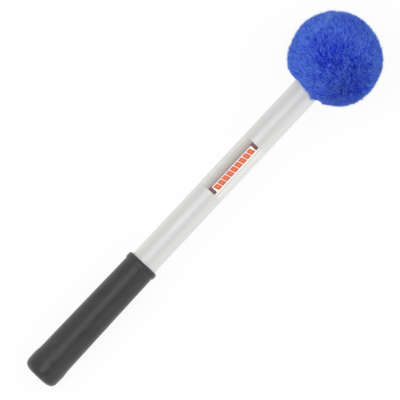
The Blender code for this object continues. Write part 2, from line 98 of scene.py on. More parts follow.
# Fineness
ROUND = 192  # segments round a turned piece
DISC_ROUND = 96
ROW = 0.0020  # the longest step along a turned piece's surface
GRIP_ROW = 0.0006
TUBE_ROW = 0.0120
EDGE_ROWS = 4  # round each of the tube's edges
BEAD_ROWS = 14  # round each half of the grip's bead
CORNER_ROWS = 20  # round the grip's corner at the butt
STEP_ROWS = 12  # of the grip's step up to its barrel
SWELL_ROWS = 8  # of its barrel
BALL_ROWS = 120
SHOULDER_ROWS = 30
MOUTH_ROWS = 40
INNER_ROWS = 60  # of the backing's inner side
FELT_ROWS = 90, 80  # of the felt's outer and inner side
DOME_ROWS = 24  # of the felt disc's top
PIN_HOLE_SIDES = 48
FILM_GRID = 96, 80  # columns and rows
PRINT_GRID = 28, 40
SHARP = math.radians(35.0)  # an edge that turns by more is shaded sharp
AT_AXIS = 1e-7  # a point nearer to the axis than this lies on it
LEAST_RADIUS = 1e-6  # the least distance from the axis that is divided by
KEY_DIGITS = 7  # to which a profile's points are rounded to find them again

# Tube
TUBE_WALL = 0.0012
TUBE_EDGE = 0.0003
PIN_HOLE_GAP = 0.0003

# Grip
GRIP_END_WALL = 0.0035
GRIP_CORNER = 0.0060
GRIP_SWELL = 0.00015  # how much thinner the barrel is next to its corner
GRIP_BARREL_LENGTH = 0.0132
GRIP_STEP_LENGTH = 0.0056
GRIP_LOW_WALL = 0.00275
GRIP_TOP_WALL = 0.00155
GRIP_BEAD_WALL = 0.0024
GRIP_BEAD_LENGTH = 0.0060
GRIP_BEAD_ROUND = 0.0020
BARREL_LIFT = 0.00026  # off the frame's radius, so that the round barrel clears the floor
BARREL_FULLNESS = 0.00036  # added away from the side that the barrel rests on
GRIP_WAVES = ((0.00005, 0.016), (0.00002, 0.004))  # height and size of the soft vinyl's unevenness
# A crease under the bead, on the side towards -Y
CREASE_FROM_TOP = 0.0054
CREASE_TURN = TOP_TURN + math.radians(64.0)
CREASE_WIDTH = math.radians(32.0)
CREASE_HEIGHT = 0.0006
CREASE_DEPTH = 0.0009

# Label, by its width round the tube (w, from its middle towards -Y) and its height along the tube (h, from
# its middle)
LABEL_TURN = math.radians(13.0)  # from the tube's top, towards -Y
LABEL_WIDTH = 0.0260
LABEL_CORNER = 0.0008
LABEL_LENGTH = LABEL_HIGH - LABEL_LOW
LABEL_MIDDLE = (LABEL_HIGH + LABEL_LOW) / 2
INK_LAYER = 0.00003  # what each layer of print stands above the one below
BAND_LEFT, BAND_RIGHT = -0.0036, 0.0014
BAND_END = 0.0002  # from the label's ends
BAND_BORDER = 0.0006
BAND_MARGIN = 0.0012  # of the band beyond the bars, on the side towards -Y
BLOCK_LEFT, BLOCK_RIGHT = -0.0050, 0.0014
BLOCK_LENGTH = 0.0030
BAR_COUNT = 9
BAR_GAP = 0.0006
BAR_SLANT = 0.0016
CORE_INSET = 0.0013
RULE_LEFT, RULE_WIDTH = 0.0032, 0.0003

# Cover: a knitted backing with a pile
INNER_RADIUS = FELT_RADIUS + GAP
INNER_LOW = FELT_LOW - GAP
SHOULDER = 0.0060  # radius where the ball turns in to its mouth
PILE_DEPTH = 0.0044
MOUTH_PILE_DEPTH = 0.0016
PILE_THINS_FROM = math.radians(-38.0)  # elevation on the ball below which the pile gets shorter
HEM_WIDTH = 0.0028
HEM_DROP = 0.0005
GROOVE_GAP = 0.0003
GATHERS = 22
GATHER_HEIGHT = 0.00025
LUMPS = ((0.0008, 0.020), (0.0003, 0.008))  # height and size
LUMP_OFFSET = 3.7  # of their noise
MOUTH_LUMP_SHARE = 0.3  # what is left of them at the flat mouth
# Where the ball is flatter or fuller than round: angle in the photograph from its right, height and size
BULGES = (
    (20.0, -0.0012, 0.34),
    (50.0, -0.0005, 0.22),
    (84.0, -0.0030, 0.11),
    (112.0, -0.0006, 0.20),
    (156.0, -0.0012, 0.32),
    (209.0, -0.0022, 0.15),
    (266.0, -0.0024, 0.15),
    (297.0, 0.0006, 0.35),
)

# Pile
STRANDS = 96000
SECTORS = 8
LEVELS = np.array((0.0, 0.42, 0.76, 1.0))  # places along a strand
STRAND_RADII = np.array((0.000146, 0.000140, 0.000100))  # at the first three of them
RINGS, SIDES = len(STRAND_RADII), 3  # of points on a strand
TIP = RINGS * SIDES  # a strand's last point
LEVEL_OF = np.append(np.repeat(np.arange(RINGS), SIDES), RINGS)  # where each of its points is in LEVELS
ROOT_SINK = 0.0004
CLUMPS = 32000
CLUMP_PULL = 0.85
PULL_SPREAD = 0.6, 1.25  # the range of each strand's share of it
PULL_BEND = 1.5  # the power with which it grows towards the tip
CLUMP_SPREAD = 0.30, 0.16  # a clump's random lean and height
STRAND_SPREAD = 0.14, 0.06
CLUMP_JITTER = 0.9  # how far a clump's root is moved, as a share of the step to the next
STRAND_JITTER = 0.8
TURN_JITTER = 0.02  # radians round the axis for a jitter of 1
TIP_SCATTER = 0.00012
# The way from the ball's centre to the whorl, which the pile lies away from
WHORL = Vector((-0.05, -0.867, -0.489)).normalized()
WHORL_SIZE = 0.50
COMB_LEAN = 0.66
COMB_SWIRL = ((0.34, 0.016), (0.55, 0.0050))  # the comb's wander: strength and size
ROUNDNESS = 0.5  # how far a strand is shaded as the ball is, not as a thread of its own
TONE_MIDDLE = 0.50  # a strand's tone, from 0 for the darkest to 1, and what each cause adds to it
TONE_BY_CLUMP = 0.46
TONE_BY_STRAND = 0.12
TONE_BY_PATCH = 0.16
TONE_ON_SEAM = 0.75
# Painted shade and painted light on the pile: broad patches whose tone is made darker or lighter to stand in
# for how light falls on the ball: way from the centre, size and change (below 0 shade, above 0 light)
PAINTED_LIGHT_AND_SHADE = (
    (Vector((-0.99, 0.02, -0.15)), 0.46, -0.42),
    (Vector((-0.53, -0.82, -0.22)), 0.32, -0.28),
    (Vector((-0.76, -0.50, -0.42)), 0.28, 0.20),
    (Vector((-0.40, -0.81, 0.42)), 0.40, 0.12),
    (Vector((-0.72, 0.42, -0.55)), 0.50, 0.25),
    (Vector((-0.70, 0.05, -0.72)), 0.32, 0.16),
)
PATCH_SIZE = 0.011
PATCH_OFFSET = Vector((9.1, 0.3, 4.4))  # of the patches' noise
PALETTE_WIDTH = 0.006  # that a face takes up in the map of tones and levels
PALETTE_EDGE = 0.03
BEND = 1.6
FLYAWAY_SHARE = 0.03
FLYAWAY_PULL = 0.2  # a flyaway strand's share of the clump's pull
FLYAWAY_REACH = 0.3, 1.4  # how much longer its last stretch gets
FLOOR_GAP = 0.0005
TUBE_CLEARANCE = 0.0002
# The flat mouth: it starts where the normal points down the axis by the first share and is full at the second
MOUTH_FACING = 0.80, 0.98
MOUTH_COMB_LOSS = 0.6  # how much of the comb goes there
MOUTH_SPLAY = 0.35
MOUTH_THINNING = 0.30
# A parting along a seam: a plane off the ball's centre
SEAM_NORMAL = Vector((-0.299, 0.940, 0.163))
SEAM_OFFSET = 0.0284
SEAM_WIDTH = 0.0011
SEAM_LEAN = -0.40
SEAM_THINNING = 0.10
SEAM_DIP = 0.0002
SEAM_END = -0.004, 0.004  # along the axis from the ball's centre, where the parting fades in
# Longer strands by the mouth: where they are round the axis and how wide, how near the tube their roots are,
# the length added and its random share, how much of the comb goes, and how far they lean in
LONG_STRANDS = (
    # A tuft that stands past the mouth, along the tube
    (TOP_TURN + math.radians(42.0), math.radians(20.0), 0.0045, 0.0050, (0.3, 1.1), 1.0, 0.4),
    # The hem's fringe, which hangs over the tube
    (TOP_TURN, math.radians(30.0), 0.0030, 0.0034, (0.1, 1.0), 0.7, 0.2),
)

# Felt and cord inside the cover
FELT_WAVES = ((0.00012, 0.006), (0.00006, 0.0015))  # height and size of the felt's unevenness
CORD_PLIES = 3
CORD_TURNS = 2
CORD_TWIST = 0.0022  # length in which a ply goes once round the cord
PLY_SIDES = 8
PLY_STEP = 0.00022

# Camera: square to the axis from above, the axis turned in the picture as in the photograph
PICTURE_TURN = math.radians(46.90)
AIM_HEIGHT = 0.1851  # along the axis
AIM_SIDE = 0.00163
VIEW_WIDTH = 0.3086
CAMERA_DISTANCE = 4.0
SENSOR = 36.0
CLIP = 0.05, 20.0

# Light
WORLD_LIGHT = 0.71
CEILING = 0.36  # how bright reflections find the studio's ceiling, where its white wall towards -Y is 1
CEILING_FADE = 0.65, 0.95  # how far up a reflection looks where the wall ends and the ceiling is full
FAR_WALL = 0.76  # the same for the wall towards +Y
WALL_FADE = -0.4, 0.4
FLOOR_COLOUR = (0.9, 0.9, 0.9, 1.0)
WHITE = (1.0, 1.0, 1.0, 1.0)
FLOOR_GLOW = 0.90
FLOOR_SIZE = 6.0
LAMP_TARGET = (0.0, 0.0, 0.03)
# Softboxes: place, width and length, power, colour and whether reflections show them
SOFTBOXES = {
    "key_light": ((-0.60, 0.70, 1.00), (0.9, 0.9), 4.2, (1.0, 1.0, 1.0), False),
    "fill_light": ((0.75, -0.60, 0.90), (0.9, 0.9), 3.6, (1.0, 1.0, 1.0), False),
    "top_light": ((-0.20, 0.25, 1.28), (1.05, 0.74), 3.9, (0.95, 0.95, 1.0), True),
}

# Colours and finishes: a pair is a range that a texture runs through
INKS = {
    "white": srgb(238, 236, 232),
    "orange": srgb(206, 76, 14),
    "amber": srgb(224, 112, 36),
    "plum": srgb(104, 42, 50),
    "grey": srgb(128, 122, 120),
}
PRINT_COAT = {"Coat Weight": 0.15, "Coat Roughness": 0.25}
TUBE_COLOURS = (0.78, 0.78, 0.765), (0.84, 0.84, 0.825)
TUBE_ROUGHNESS = 0.52, 0.60
TUBE_SPECK = (0.22, 0.21, 0.20)
SPECK_LEVELS = 0.84, 0.87  # where the specks' grain starts to show and is full
SPECK_STRENGTH = 0.8
SPECKLED_PLACE = (-TUBE_RADIUS, 0.0003, BALL_CENTRE - 0.0372)  # where the tube has more specks
SPECKLED_REACH = 0.0045
SPECKLED_LIFT = 0.11  # what the specks' grain gains there
MARKS = -0.04, 0.05  # what fine marks add to the roughness of the tube and the grip
GRIP_COLOURS = (0.020, 0.020, 0.0215), (0.030, 0.030, 0.0315)
GRIP_ROUGHNESS = 0.30, 0.38
GRIP_DUST = (0.060, 0.059, 0.058)
DUST_LEVELS = 0.52, 0.75
DUST_STRENGTH = 0.45
BARREL_POLISH = -0.07  # what the handled barrel adds to the roughness
FILM_WHITE = srgb(229, 229, 226)
# The film's shade from its edge to the band: places, where the band is at 0.5, and colours
FILM_SHADES = (
    (0.0, srgb(222, 220, 214)),
    (0.10, srgb(198, 195, 189)),
    (0.22, srgb(187, 184, 177)),
    (0.38, srgb(158, 149, 142)),
    (0.5, srgb(118, 98, 90)),
    (0.72, FILM_WHITE),
    (1.0, FILM_WHITE),
)
FILM_FADE = 0.02  # radians beyond the band's edge in which the shade ends
PILE_ROOTS = (0.006, 0.020, 0.76), (0.014, 0.044, 0.98)
PILE_TIPS = (0.004, 0.022, 0.72), (0.190, 0.375, 0.98)
PILE_ROUGHNESS = 0.72, 0.56
LIT_LEVELS = 0.05, 0.9  # where a strand's colour leaves the root's and reaches the tip's
PILE_FINISH = {
    "Specular IOR Level": 0.12,
    "Sheen Weight": 0.90,
    "Sheen Roughness": 0.5,
    "Sheen Tint": (0.21, 0.45, 1.0, 1.0),
}
BACKING_COLOURS = srgb(26, 44, 170), srgb(40, 64, 200)
WOOD_COLOURS = srgb(206, 165, 116), srgb(168, 122, 78)
STEEL_COLOURS = srgb(176, 178, 180), srgb(206, 208, 209)
FELT_COLOURS = srgb(146, 146, 143), srgb(180, 180, 176)
CORD_COLOURS = srgb(204, 202, 192), srgb(232, 230, 222)
PLASTIC_COLOURS = srgb(190, 190, 184), srgb(212, 212, 205)


# Meshes


def new_object(name, data):
    """A new object in the scene."""
    made = bpy.data.objects.new(name, data)
    bpy.context.scene.collection.objects.link(made)
    return made


def place_piece(name, mesh, material):
    """Adds a piece that lies in its place already."""
    mesh.name = name
    mesh.materials.append(material)
    piece = new_object(name, mesh)
    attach(piece, "root")
    return piece


def add_piece(name, mesh, slot, material, *nodes):
    """Lays a mesh on the frame's axis and adds it as a piece, which may stand for CAD nodes."""
    mesh.transform(ON_AXIS)
    piece = place_piece(name, mesh, material)
    if nodes:
        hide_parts(*nodes)
    return piece


def arc(centre, radius, start, end, count):
    """Points (radius, height) on a circle about centre, between two angles above the horizontal."""
    angles = [start + (end - start) * i / count for i in range(count + 1)]
    return [(centre[0] + radius * math.cos(a), centre[1] + radius * math.sin(a)) for a in angles]


def stepped(profile, longest=ROW):
    """The profile with points added, so that no step is longer than a limit."""
    points = [profile[0]]
    for (r0, z0), (r1, z1) in zip(profile, profile[1:]):
        count = max(1, math.ceil(math.hypot(r1 - r0, z1 - z0) / longest))
        points += [(r0 + (r1 - r0) * i / count, z0 + (z1 - z0) * i / count) for i in range(1, count + 1)]
    return points


def turned(profile, closed=False, shift=None, segments=ROUND):
    """A mesh turned about the axis. shift(place, radius) moves a point before it is used."""
    vertices, rings = [], []
    for radius, height in profile:
        count = 1 if radius < AT_AXIS else segments
        ring = []
        for i in range(count):
            angle = math.tau * i / segments
            place = Vector((radius * math.cos(angle), radius * math.sin(angle), height))
            ring.append(len(vertices))
            vertices.append(shift(place, radius) if shift else place)
        rings.append(ring)
    faces = []
    pairs = list(zip(rings, rings[1:] + rings[:1])) if closed else list(zip(rings, rings[1:]))
    for a, b in pairs:
        for i in range(segments):
            j = (i + 1) % segments
            corners = (a[i % len(a)], b[i % len(b)], b[j % len(b)], a[j % len(a)])
            faces.append(tuple(dict.fromkeys(corners)))
    mesh = bpy.data.meshes.new("turned")
    mesh.from_pydata(vertices, [], faces)
    outward(mesh)
    return mesh


def outward(mesh):
    """Turns the faces out, and shades them smooth between sharp edges."""
    shape = bmesh.new()
    shape.from_mesh(mesh)
    bmesh.ops.recalc_face_normals(shape, faces=shape.faces)
    shape.to_mesh(mesh)
    shape.free()
    shade_smoothly(mesh)


def shade_smoothly(mesh):
    """Shades a mesh smooth between its sharp edges."""
    mesh.shade_smooth()
    mesh.set_sharp_from_angle(angle=SHARP)


def waves(place, heights_and_sizes, offset=0.0):
    """The sum of several noises at a place, each with its height and its size."""
    shift = Vector((offset, offset, offset))
    return sum(height * noise.noise(place / size + shift) for height, size in heights_and_sizes)


def smooth(value, low, high):
    """0 below low, 1 above high and a soft step between."""
    share = np.clip((value - low) / (high - low), 0.0, 1.0)
    return share * share * (3 - 2 * share)


def unit(vectors):
    """The vectors of an array at length 1."""
    return vectors / np.linalg.norm(vectors, axis=-1)[..., None]


# Tube, grip and label


def tube_mesh():
    """The tube, with the cross pin's hole through both walls."""
    bore = TUBE_RADIUS - TUBE_WALL
    profile = [
        *arc((TUBE_RADIUS - TUBE_EDGE, TUBE_HIGH - TUBE_EDGE), TUBE_EDGE, math.pi / 2, 0.0, EDGE_ROWS),
        *arc((TUBE_RADIUS - TUBE_EDGE, TUBE_LOW + TUBE_EDGE), TUBE_EDGE, 0.0, -math.pi / 2, EDGE_ROWS),
        *arc((bore + TUBE_EDGE, TUBE_LOW + TUBE_EDGE), TUBE_EDGE, -math.pi / 2, -math.pi, EDGE_ROWS),
        *arc((bore + TUBE_EDGE, TUBE_HIGH - TUBE_EDGE), TUBE_EDGE, math.pi, math.pi / 2, EDGE_ROWS),
    ]
    tube = new_object("tube_blank", turned(stepped(profile, TUBE_ROW), closed=True))
    pin_low, pin_high, _ = reach("cross_pin")
    cutter_mesh = bpy.data.meshes.new("pin_hole")
    shape = bmesh.new()
    radius = (pin_high - pin_low) / 2 + PIN_HOLE_GAP
    across = Matrix.Translation((0.0, 0.0, (pin_low + pin_high) / 2)) @ Matrix.Rotation(math.pi / 2, 4, "X")
    ends = {"radius1": radius, "radius2": radius, "cap_ends": True}
    bmesh.ops.create_cone(shape, segments=PIN_HOLE_SIDES, depth=3 * TUBE_RADIUS, matrix=across, **ends)
    shape.to_mesh(cutter_mesh)
    shape.free()
    cutter = new_object("pin_hole", cutter_mesh)
    boolean = tube.modifiers.new("pin_hole", "BOOLEAN")
    boolean.object = cutter
    bpy.context.view_layer.update()
    mesh = bpy.data.meshes.new_from_object(tube.evaluated_get(bpy.context.evaluated_depsgraph_get()))
    for blank in (tube, cutter):
        bpy.data.objects.remove(blank)
    mesh.materials.clear()
    shade_smoothly(mesh)
    return mesh


def grip_mesh():
    """The grip: a blind sleeve with a bead at its mouth and a barrel at its butt, slightly uneven."""
    barrel = BARREL_RADIUS - BARREL_LIFT
    body_top = BORE + GRIP_TOP_WALL
    body_low = BORE + GRIP_LOW_WALL
    bead_centre = BORE + GRIP_BEAD_WALL - GRIP_BEAD_ROUND
    foot_turn = math.acos((body_top - bead_centre) / GRIP_BEAD_ROUND)
    foot_height = GRIP_TOP - GRIP_BEAD_LENGTH + GRIP_BEAD_ROUND * math.sin(foot_turn)
    step_top = GRIP_BARREL_LENGTH + GRIP_STEP_LENGTH
    step = []
    for i in range(STEP_ROWS + 1):
        share = i / STEP_ROWS
        ease = (1 - math.cos(math.pi * share)) / 2
        step.append((body_low + (barrel - body_low) * ease, step_top - GRIP_STEP_LENGTH * share))
    corner_side = barrel - GRIP_SWELL
    swell = []
    for i in range(1, SWELL_ROWS):
        share = i / SWELL_ROWS
        height = GRIP_BARREL_LENGTH + (GRIP_CORNER - GRIP_BARREL_LENGTH) * share
        swell.append((barrel - GRIP_SWELL * share**2, height))
    inside = [(0.0, GRIP_END_WALL), (BORE, GRIP_END_WALL), (BORE, GRIP_TOP)]
    outside = [
        *arc((bead_centre, GRIP_TOP - GRIP_BEAD_ROUND), GRIP_BEAD_ROUND, math.pi / 2, 0.0, BEAD_ROWS),
        *arc((bead_centre, foot_height), GRIP_BEAD_ROUND, 0.0, -foot_turn, BEAD_ROWS),
        *step,
        *swell,
        *arc((corner_side - GRIP_CORNER, GRIP_CORNER), GRIP_CORNER, 0.0, -math.pi / 2, CORNER_ROWS),
        (0.0, 0.0),
    ]

    def uneven(place, radius):
        if radius < BORE + GAP or place.z < GAP:
            return place
        out = Vector((place.x, place.y, 0.0)).normalized()
        push = waves(place, GRIP_WAVES)
        on_barrel = min(1.0, max(0.0, (step_top - place.z) / GRIP_STEP_LENGTH))
        push += BARREL_FULLNESS * on_barrel * (1 - max(0.0, out.x) ** 2)
        turn = (math.atan2(place.y, place.x) % math.tau - CREASE_TURN) / CREASE_WIDTH
        along = (place.z - GRIP_TOP + CREASE_FROM_TOP) / CREASE_HEIGHT
        push -= CREASE_DEPTH * math.exp(-(turn**2) - along**2)
        return place + out * push

    return turned(stepped(inside) + stepped(outside, GRIP_ROW), shift=uneven)


def wrapped(place, columns, rows, inner, outer):
    """A closed patch on the tube. place(u, v) gives (w, h), both from the label's middle."""
    vertices, faces = [], []
    for radius in (outer, inner):
        for i in range(columns + 1):
            for j in range(rows + 1):
                w, h = place(i / columns, j / rows)
                angle = TOP_TURN + LABEL_TURN + w / LABEL_RADIUS
                vertices.append((radius * math.cos(angle), radius * math.sin(angle), LABEL_MIDDLE + h))
    side = (columns + 1) * (rows + 1)

    def at(i, j, layer):
        return layer * side + i * (rows + 1) + j

    for layer in (0, 1):
        for i in range(columns):
            for j in range(rows):
                faces.append([at(i + a, j + b, layer) for a, b in ((0, 0), (1, 0), (1, 1), (0, 1))])
    for i in range(columns):
        for j in (0, rows):
            faces.append((at(i, j, 0), at(i + 1, j, 0), at(i + 1, j, 1), at(i, j, 1)))
    for j in range(rows):
        for i in (0, columns):
            faces.append((at(i, j, 0), at(i, j + 1, 0), at(i, j + 1, 1), at(i, j, 1)))
    return vertices, faces


def patch_mesh(patches):
    """One mesh of several closed patches."""
    vertices, faces = [], []
    for patch_vertices, patch_faces in patches:
        start = len(vertices)
        vertices += patch_vertices
        faces += [tuple(start + corner for corner in face) for face in patch_faces]
    mesh = bpy.data.meshes.new("patches")
    mesh.from_pydata(vertices, [], faces)
    outward(mesh)
    return mesh


def rounded(left, right, low, high, corner):
    """A rectangle with rounded corners, as place(u, v)."""

    def place(u, v):
        turn = (1 - math.cos(math.pi * v)) / 2  # finer rows towards the ends, where the corners are
        h = low + (high - low) * turn
        from_end = min(h - low, high - h)
        cut = 0.0
        if from_end < corner:
            cut = corner - math.sqrt(max(0.0, corner**2 - (corner - from_end) ** 2))
        return left + cut + (right - left - 2 * cut) * u, h

    return place


def slanted(left, right, low, length, slant):
    """A bar across the band, slanted along the tube, as place(u, v)."""
    return lambda u, v: (left + (right - left) * u, low + slant * u + length * v)


def add_label():
    """The film and its print: slanted bars in a white band, end blocks and a rule. It bears no words."""
    half = LABEL_LENGTH / 2
    film = rounded(-LABEL_WIDTH / 2, LABEL_WIDTH / 2, -half, half, LABEL_CORNER)
    film_patch = wrapped(film, *FILM_GRID, TUBE_RADIUS + FILM_GAP, LABEL_RADIUS)
    add_piece("label_sheet", patch_mesh([film_patch]), "label_film", film_material(), "label_film")
    end = half - BAND_END
    band_low, band_high = -end + BLOCK_LENGTH, end - BLOCK_LENGTH
    bar_step = (band_high - band_low - BAR_GAP - BAR_SLANT) / BAR_COUNT
    bar_length = bar_step - BAR_GAP
    bars, cores = [], []
    for i in range(BAR_COUNT):
        low = band_low + BAR_GAP + bar_step * i
        bars.append(slanted(BAND_LEFT, BAND_RIGHT, low, bar_length, BAR_SLANT))
        share = CORE_INSET / (BAND_RIGHT - BAND_LEFT)
        core_low, core_length = low + CORE_INSET + BAR_SLANT * share, bar_length - 2 * CORE_INSET
        core_left, core_right = BAND_LEFT + CORE_INSET, BAND_RIGHT - CORE_INSET
        core_slant = BAR_SLANT * (1 - 2 * share)
        cores.append(slanted(core_left, core_right, core_low, core_length, core_slant))
    blocks = [
        rounded(BLOCK_LEFT, BLOCK_RIGHT, -end, band_low + BAND_BORDER, BAND_BORDER / 2),
        rounded(BLOCK_LEFT, BLOCK_RIGHT, band_high - BAND_BORDER, end, BAND_BORDER / 2),
    ]
    band = rounded(BAND_LEFT - BAND_BORDER, BAND_RIGHT + BAND_MARGIN, band_low, band_high, BAND_BORDER)
    rule = rounded(RULE_LEFT, RULE_LEFT + RULE_WIDTH, -end, end, RULE_WIDTH / 3)
    prints = (
        ("label_blocks", blocks, 1, INKS["plum"]),
        ("label_band", [band], 2, INKS["white"]),
        ("label_bars", bars, 3, INKS["orange"]),
        ("label_bar_cores", cores, 4, INKS["amber"]),
        ("label_rule", [rule], 1, INKS["grey"]),
    )
    for name, shapes, layer, colour in prints:
        under, top = LABEL_RADIUS - INK_LAYER, LABEL_RADIUS + layer * INK_LAYER
        patches = [wrapped(shape, *PRINT_GRID, under, top) for shape in shapes]
        add_piece(name, patch_mesh(patches), "label_film", ink_material(name, colour))


# Cover


def lump(place):
    """How far a point of the cover is pushed out by the stuffing's and the cloth's unevenness."""
    push = waves(place, LUMPS, LUMP_OFFSET)
    way = (place - BALL_PLACE).normalized()
    for angle, height, size in BULGES:
        turn = math.radians(angle) - PICTURE_TURN
        middle = Vector((0.0, math.sin(turn), math.cos(turn)))
        push += height * math.exp(-(((way - middle).length / size) ** 2))
    return push


def seam_distance(place):
    """The distance from the seam's plane, along its normal."""
    return (place - BALL_PLACE).dot(SEAM_NORMAL) - SEAM_OFFSET


def seam_share(place):
    """1 on the seam, falling to 0 beside it."""
    start, full = SEAM_END
    along = min(1.0, max(0.0, (place.z - BALL_CENTRE - start) / (full - start)))
    return along * math.exp(-((seam_distance(place) / SEAM_WIDTH) ** 2))


def backing_outline():
    """The backing's outer profile, from the crown to the tube: radius, height, normal and pile depth."""
    depth = BALL_CENTRE - MOUTH - SHOULDER
    arm = BALL_RADIUS - SHOULDER
    turn = -math.asin(depth / arm)
    centre = (math.sqrt(arm**2 - depth**2), BALL_CENTRE - depth)
    rows = []
    for i in range(BALL_ROWS + 1):
        angle = math.pi / 2 + (turn - math.pi / 2) * i / BALL_ROWS
        rows.append(((0.0, BALL_CENTRE), BALL_RADIUS, angle))
    for i in range(1, SHOULDER_ROWS + 1):
        rows.append((centre, SHOULDER, turn + (-math.pi / 2 - turn) * i / SHOULDER_ROWS))
    outline = []
    for middle, radius, angle in rows:
        share = smooth(PILE_THINS_FROM - angle, 0.0, PILE_THINS_FROM + math.pi / 2)
        pile = PILE_DEPTH + (MOUTH_PILE_DEPTH - PILE_DEPTH) * share
        out = (math.cos(angle), math.sin(angle))
        reach_out = radius - pile
        outline.append((max(0.0, middle[0] + reach_out * out[0]), middle[1] + reach_out * out[1], *out, pile))
    flat = MOUTH + MOUTH_PILE_DEPTH
    start, end = centre[0], BORE + GAP
    for i in range(1, MOUTH_ROWS + 1):
        radius = start + (end - start) * i / MOUTH_ROWS
        share = min(1.0, max(0.0, (BORE + HEM_WIDTH - radius) / HEM_WIDTH))
        drop = HEM_DROP * math.sin(share * math.pi / 2) ** 2
        slope = HEM_DROP * math.sin(share * math.pi) * math.pi / 2 / HEM_WIDTH
        tilt = math.hypot(1.0, slope)
        outline.append((radius, flat - drop, slope / tilt, -1 / tilt, MOUTH_PILE_DEPTH))
    return outline


def gathers(place):
    """The small folds in which the hem is drawn in round the tube."""
    radius = math.hypot(place.x, place.y)
    near = max(0.0, 1 - (radius - BORE) / (2 * HEM_WIDTH)) * (place.z < BALL_CENTRE)
    return GATHER_HEIGHT * near * math.sin(GATHERS * math.atan2(place.y, place.x))


def row_key(radius, height):
    """A profile's point, rounded, so that it is found again."""
    return round(radius, KEY_DIGITS), round(height, KEY_DIGITS)


def backing_mesh():
    """The backing: a closed shell from the pile's roots to the felt, with the gathering cord's groove."""
    outline = backing_outline()
    groove_low, groove_high = CORD_LOW - GROOVE_GAP, CORD_HIGH + GROOVE_GAP
    groove_radius = CORD_REACH + GROOVE_GAP
    hem = outline[-1][1]
    inner_turn = -math.asin((BALL_CENTRE - INNER_LOW) / INNER_RADIUS)
    inside = [
        (BORE, hem + GAP),
        (BORE, groove_low),
        (groove_radius, groove_low),
        (groove_radius, groove_high),
        (BORE, groove_high),
        (BORE, INNER_LOW),
        *arc((0.0, BALL_CENTRE), INNER_RADIUS, inner_turn, math.pi / 2, INNER_ROWS),
    ]
    inside[-1] = (0.0, BALL_CENTRE + INNER_RADIUS)
    profile = [(row[0], row[1]) for row in outline] + inside
    normals = {row_key(row[0], row[1]): row[2:4] for row in outline}

    def uneven(place, radius):
        out = normals.get(row_key(radius, place.z))
        if out is None:
            return place
        round_way = Vector((1.0, 0.0, 0.0))
        if radius > AT_AXIS:
            round_way = Vector((place.x, place.y, 0.0)).normalized()
        normal = round_way * out[0] + Vector((0.0, 0.0, out[1]))
        push = lump(place) - SEAM_DIP * seam_share(place)
        if place.z < MOUTH + SHOULDER / 2:
            push = min(0.0, push) * MOUTH_LUMP_SHARE + gathers(place)
        return place + normal * push

    return turned(profile, shift=uneven)


def roots(count, rng, jitter):
    """Places spread evenly over the backing: place, outward normal and pile depth, as arrays."""
    outline = np.array(backing_outline())
    step = np.hypot(*np.diff(outline[:, :2], axis=0).T)
    ring = (outline[1:, 0] + outline[:-1, 0]) / 2
    area = np.concatenate([[0.0], np.cumsum(step * ring)])
    at = (np.arange(count) + 0.5 + rng.uniform(-jitter, jitter, count)) / count * area[-1]
    radius, height, out, up, pile = (np.interp(at, area, outline[:, i]) for i in range(5))
    golden = math.pi * (3 - math.sqrt(5))
    angle = np.arange(count) * golden + rng.uniform(-jitter, jitter, count) * TURN_JITTER
    round_way = np.stack([np.cos(angle), np.sin(angle), np.zeros(count)], 1)
    place = round_way * radius[:, None]
    place[:, 2] = height
    normal = round_way * out[:, None]
    normal[:, 2] = up
    return place, unit(normal), pile


def cover_at(place):
    """What the cover is like at each place: push, swirl of the comb, share and side of the seam, patch."""
    rows = []
    for row in place:
        at = Vector(row)
        part = seam_share(at)
        swirl = sum((strength * noise.noise_vector(at / size) for strength, size in COMB_SWIRL), Vector())
        side = math.copysign(1.0, seam_distance(at))
        patch = noise.noise(at / PATCH_SIZE + PATCH_OFFSET)
        rows.append((lump(at) - SEAM_DIP * part, *swirl, part, side, patch))
    columns = np.array(rows)
    return columns[:, 0], columns[:, 1:4], *columns[:, 4:].T


def grown(count, rng, jitter, spread):
    """Strands' centre lines at LEVELS before the pile clumps, with normals, patches and the seam's share."""
    place, normal, pile = roots(count, rng, jitter)
    push, swirl, part, side, patch = cover_at(place)
    on_mouth = smooth(-normal[:, 2], *MOUTH_FACING)
    place = place + normal * (push * (1 - on_mouth))[:, None]
    radial = place * (1.0, 1.0, 0.0)
    radial /= np.maximum(np.linalg.norm(radial, axis=1), LEAST_RADIUS)[:, None]
    away = normal * (normal @ np.array(WHORL))[:, None] - np.array(WHORL)
    away /= np.hypot(np.linalg.norm(away, axis=1), WHORL_SIZE)[:, None]
    comb = COMB_LEAN * away + swirl
    comb = comb * (1 - MOUTH_COMB_LOSS * on_mouth)[:, None] + radial * (MOUTH_SPLAY * on_mouth)[:, None]
    comb += rng.normal(0.0, spread[0], (count, 3))
    comb += np.array(SEAM_NORMAL) * (side * part * SEAM_LEAN)[:, None]
    comb -= normal * (comb * normal).sum(1)[:, None]
    rise = pile * (1 + rng.normal(0.0, spread[1], count))
    rise = rise * (1 - SEAM_THINNING * part) * (1 - MOUTH_THINNING * on_mouth)
    turn = np.arctan2(place[:, 1], place[:, 0]) % math.tau
    from_tube = np.hypot(place[:, 0], place[:, 1]) - BORE
    for middle, width, near, length, random_share, comb_loss, lean_in in LONG_STRANDS:
        share = np.exp(-(((turn - middle) / width) ** 2)) * smooth(-from_tube, -near, -near / 3)
        share *= place[:, 2] < MOUTH + SHOULDER
        rise = rise + length * share * rng.uniform(*random_share, count)
        comb = comb * (1 - comb_loss * share)[:, None] - radial * (lean_in * share)[:, None]
    centre = np.empty((count, len(LEVELS), 3))
    for k, level in enumerate(LEVELS):
        centre[:, k] = place + normal * (rise * level)[:, None] + comb * (rise * level**BEND)[:, None]
    centre[:, 0] -= normal * ROOT_SINK
    return centre, normal, patch, part


